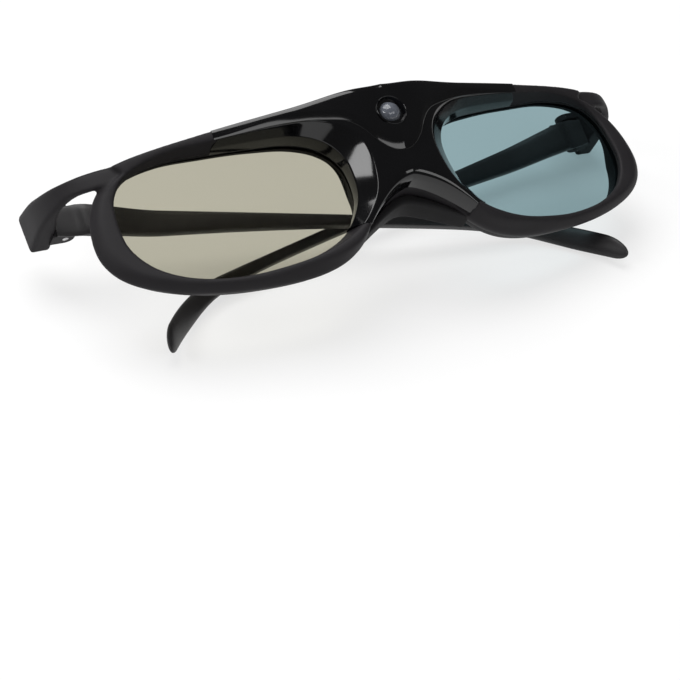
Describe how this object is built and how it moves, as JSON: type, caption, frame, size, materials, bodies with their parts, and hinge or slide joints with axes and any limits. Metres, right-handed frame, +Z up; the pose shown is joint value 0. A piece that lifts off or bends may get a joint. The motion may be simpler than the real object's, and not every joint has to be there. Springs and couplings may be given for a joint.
{
  "type": "shutter glasses",
  "caption": "Folding 3D shutter glasses with tinted lens panels, a gloss brow with a sensor dome, thin hinged temples and a charging socket.",
  "frame": {"origin": "centre of the bounding box in plan, on the table the folded pair lies on", "axes": "+X to the right of a viewer facing the lenses, +Y away from that viewer, +Z up"},
  "size_m": [0.1736, 0.0618, 0.0516],
  "materials": {
    "matte_black": "fine matte texture",
    "gloss_black": "polished gloss",
    "satin_black": "satin",
    "soft_black": "soft matte",
    "shutter_glass": "polished, tinted by liquid crystal and polarisers",
    "sensor_glass": "polished dark dome",
    "chip_black": "moulded",
    "board_green": "solder mask",
    "cell_foil": "foil pouch",
    "plated_steel": "nickel plate",
    "light_guide": "clear",
    "ribbon": "polyimide film"
  },
  "bodies": {
    "front": {"front_frame": "matte_black", "rear_frame": "matte_black", "bridge_cover": "gloss_black", "brow_panel": "gloss_black", "sensor_ring": "gloss_black", "sensor_dome": "sensor_glass", "photodiode": "chip_black", "left_lens": "shutter_glass", "right_lens": "shutter_glass", "left_gasket": "soft_black", "right_gasket": "soft_black", "main_board": "board_green", "control_chip": "chip_black", "battery": "cell_foil", "usb_socket": "plated_steel", "power_switch": "chip_black", "status_light": "light_guide", "left_lens_flex": "ribbon", "right_lens_flex": "ribbon", "nose_pad": "soft_black", "rear_screws": "plated_steel", "left_hinge_pin": "plated_steel", "right_hinge_pin": "plated_steel"},
    "left_temple": {"left_temple": "satin_black"},
    "right_temple": {"right_temple": "satin_black"},
    "power_button": {"power_button": "satin_black"}
  },
  "joints": [
    {"name": "right_temple_open", "type": "hinge", "parent": "front", "child": "right_temple", "pos_m": [0.07843, 0.02183, 0.008], "axis": [-0.0406, -0.8517, -0.5225], "range_deg": [0, 96]},
    {"name": "left_temple_open", "type": "hinge", "parent": "front", "child": "left_temple", "pos_m": [-0.07811, 0.02183, 0.01702], "axis": [0.0406, 0.8517, 0.5225], "range_deg": [0, 90.24]},
    {"name": "power_press", "type": "slide", "parent": "front", "child": "power_button", "axis": [-0.023, -0.9164, -0.3997], "range_m": [0, 0.0005], "stiffness_N_per_m": 300}
  ],
  "couplings": [
    {"joint": "left_temple_open", "follows": "right_temple_open", "ratio": 0.94}
  ]
}
